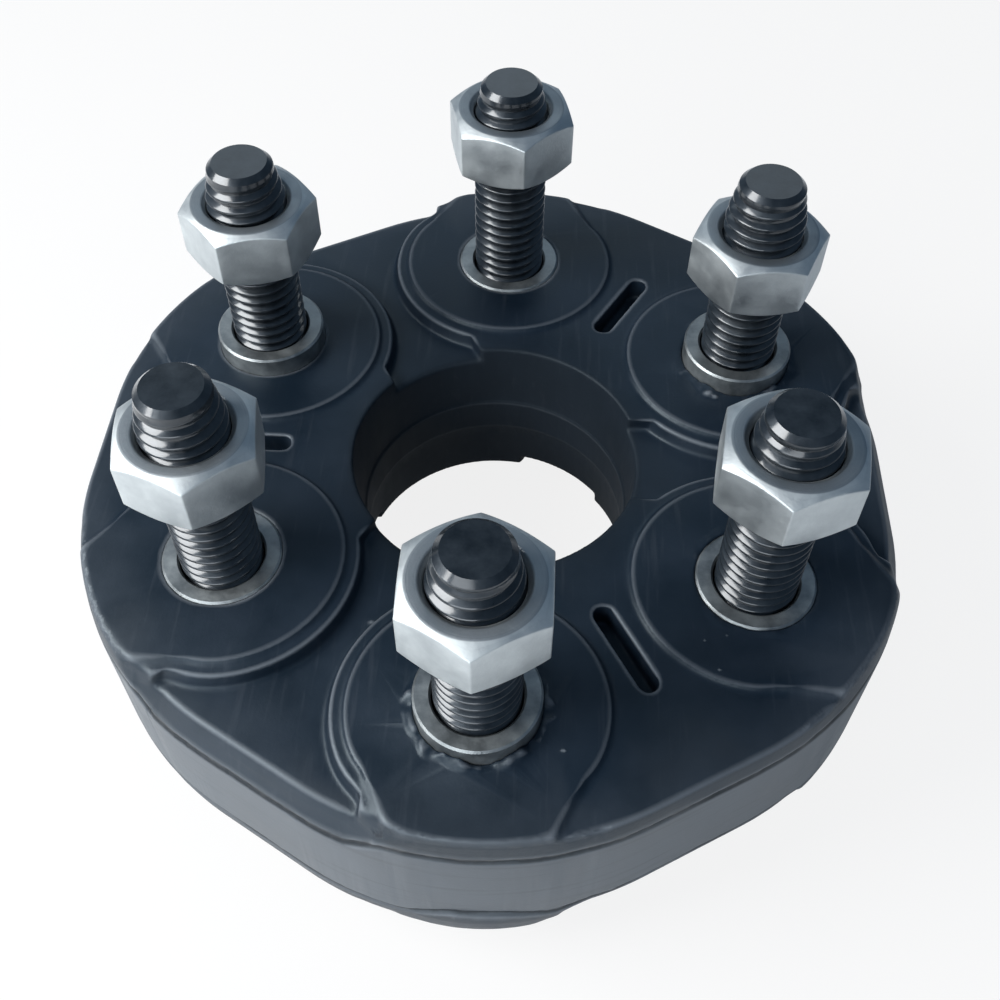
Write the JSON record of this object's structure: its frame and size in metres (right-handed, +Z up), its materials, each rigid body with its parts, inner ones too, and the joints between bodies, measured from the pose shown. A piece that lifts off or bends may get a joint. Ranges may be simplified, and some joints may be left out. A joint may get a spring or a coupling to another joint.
{
  "type": "driveshaft flex disc",
  "caption": "Rounded hexagonal rubber coupling disc with bonded steel sleeves, standing on its bolts with the nuts run part way down, for joining driveshaft flanges.",
  "frame": {"origin": "middle of the outline, on the ground under the bolt heads", "axes": "+Z up along the shaft axis, towards the thread ends; hole 1 towards -Y; flat sides towards +X and -X"},
  "size_m": [0.126, 0.1304, 0.0775],
  "materials": {
    "rubber": "moulded, satin black",
    "sleeve": "turned, plated",
    "cord": "wound cord",
    "bolt": "black oxide, oiled",
    "nut": "bright zinc plate"
  },
  "bodies": {
    "root": {"rubber_disc": "rubber", "sleeve_1": "sleeve", "sleeve_2": "sleeve", "sleeve_3": "sleeve", "sleeve_4": "sleeve", "sleeve_5": "sleeve", "sleeve_6": "sleeve", "upper_cord_1": "cord", "upper_cord_2": "cord", "upper_cord_3": "cord", "lower_cord_1": "cord", "lower_cord_2": "cord", "lower_cord_3": "cord", "bolt_1": "bolt", "bolt_2": "bolt", "bolt_3": "bolt", "bolt_4": "bolt", "bolt_5": "bolt", "bolt_6": "bolt", "nut_1": "nut", "nut_2": "nut", "nut_3": "nut", "nut_4": "nut", "nut_5": "nut", "nut_6": "nut"}
  },
  "joints": []
}
